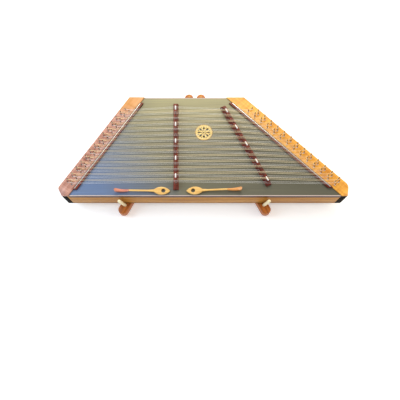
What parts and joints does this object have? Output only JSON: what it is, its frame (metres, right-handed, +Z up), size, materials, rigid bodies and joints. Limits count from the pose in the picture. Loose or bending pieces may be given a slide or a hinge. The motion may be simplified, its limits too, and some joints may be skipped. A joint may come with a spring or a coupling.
{
  "type": "hammered dulcimer",
  "caption": "Trapezoid hammered dulcimer with treble, bass and side bridges, a round rosette, paired strings, two hammers and a folding V stand.",
  "frame": {"origin": "middle of the footprint, at floor level", "axes": "+Z up, +Y from the player's long edge to the short far edge, +X towards the tuning pins"},
  "size_m": [1.0588, 0.5255, 0.1559],
  "materials": {
    "soundboard": "satin black stain",
    "block_top": "satin, figured",
    "block_core": "satin laminated",
    "corner_black": "satin black",
    "rail_wood": "satin",
    "edge_wood": "satin dark",
    "back_board": "satin",
    "inner_wood": "bare",
    "rosette_wood": "satin",
    "bridge_wood": "satin dark red",
    "side_bridge_wood": "satin dark red",
    "cap_dark": "gloss",
    "cap_white": "gloss",
    "rod_metal": "polished",
    "string_steel": "bright drawn wire",
    "string_bronze": "bright drawn wire",
    "pin_steel": "nickel plated",
    "hammer_wood": "oiled",
    "hammer_head_wood": "oiled",
    "pad_leather": "suede",
    "arm_wood": "satin reddish",
    "felt": "felt",
    "peg_wood": "bare birch",
    "foot_rubber": "matt",
    "zinc_steel": "zinc plated"
  },
  "bodies": {
    "stand": {"pivot_bolt_left": "zinc_steel", "pivot_bolt_right": "zinc_steel", "pivot_nuts": "zinc_steel", "pivot_washers": "zinc_steel", "rear_foot": "foot_rubber", "stand_yoke": "arm_wood"},
    "arm_left": {"arm_felt_left": "felt", "arm_left": "arm_wood", "front_foot_left": "foot_rubber", "peg_left": "peg_wood"},
    "arm_right": {"arm_felt_right": "felt", "arm_right": "arm_wood", "front_foot_right": "foot_rubber", "peg_right": "peg_wood"},
    "instrument": {"back_board": "back_board", "back_moulding": "edge_wood", "back_rail": "rail_wood", "bass_brace": "inner_wood", "bass_bridge": "bridge_wood", "bass_caps": "cap_dark", "bass_marker_caps": "cap_white", "bass_strings": "string_bronze", "block_top_left": "block_top", "block_top_right": "block_top", "corner_cap_left": "corner_black", "corner_cap_right": "corner_black", "cross_brace_front": "inner_wood", "cross_brace_rear": "inner_wood", "front_binding": "edge_wood", "front_moulding": "edge_wood", "front_rail": "rail_wood", "hitch_pins": "pin_steel", "ledge_left": "inner_wood", "ledge_right": "inner_wood", "pin_block_left": "block_core", "pin_block_right": "block_core", "rosette": "rosette_wood", "side_bridge_left": "side_bridge_wood", "side_bridge_right": "side_bridge_wood", "side_rod_left": "rod_metal", "side_rod_right": "rod_metal", "soundboard": "soundboard", "treble_brace": "inner_wood", "treble_bridge": "bridge_wood", "treble_caps": "cap_dark", "treble_marker_caps": "cap_white", "treble_strings": "string_steel", "tuning_pins": "pin_steel"},
    "hammer_left": {"hammer_left_handle": "hammer_wood", "hammer_left_head": "hammer_head_wood", "hammer_left_pad": "pad_leather"},
    "hammer_right": {"hammer_right_handle": "hammer_wood", "hammer_right_head": "hammer_head_wood", "hammer_right_pad": "pad_leather"},
    "tuning_pin_1": {"tuning_pin_1": "pin_steel"},
    "tuning_pin_2": {"tuning_pin_2": "pin_steel"},
    "tuning_pin_3": {"tuning_pin_3": "pin_steel"},
    "tuning_pin_4": {"tuning_pin_4": "pin_steel"}
  },
  "joints": [
    {"name": "instrument_lift", "type": "slide", "parent": "stand", "child": "instrument", "axis": [0, 0, 1], "range_m": [0, 0.2]},
    {"name": "arm_left_swing", "type": "hinge", "parent": "stand", "child": "arm_left", "pos_m": [-0.05863, 0.24478, 0.025], "axis": [0, 0, 1], "range_deg": [0, 26.5]},
    {"name": "arm_right_swing", "type": "hinge", "parent": "stand", "child": "arm_right", "pos_m": [-0.00863, 0.24478, 0.025], "axis": [0, 0, -1], "range_deg": [0, 26.5]},
    {"name": "hammer_left_lift", "type": "slide", "parent": "instrument", "child": "hammer_left", "axis": [0, 0, 1], "range_m": [0, 0.15]},
    {"name": "hammer_right_lift", "type": "slide", "parent": "instrument", "child": "hammer_right", "axis": [0, 0, 1], "range_m": [0, 0.15]},
    {"name": "tuning_pin_1_turn", "type": "hinge", "parent": "instrument", "child": "tuning_pin_1", "pos_m": [0.47964, -0.17982, 0.131], "axis": [0, 0, 1], "continuous": true},
    {"name": "tuning_pin_2_turn", "type": "hinge", "parent": "instrument", "child": "tuning_pin_2", "pos_m": [0.4939, -0.16862, 0.131], "axis": [0, 0, 1], "continuous": true},
    {"name": "tuning_pin_3_turn", "type": "hinge", "parent": "instrument", "child": "tuning_pin_3", "pos_m": [0.48082, -0.16827, 0.131], "axis": [0, 0, 1], "continuous": true},
    {"name": "tuning_pin_4_turn", "type": "hinge", "parent": "instrument", "child": "tuning_pin_4", "pos_m": [0.49478, -0.15677, 0.131], "axis": [0, 0, 1], "continuous": true}
  ]
}
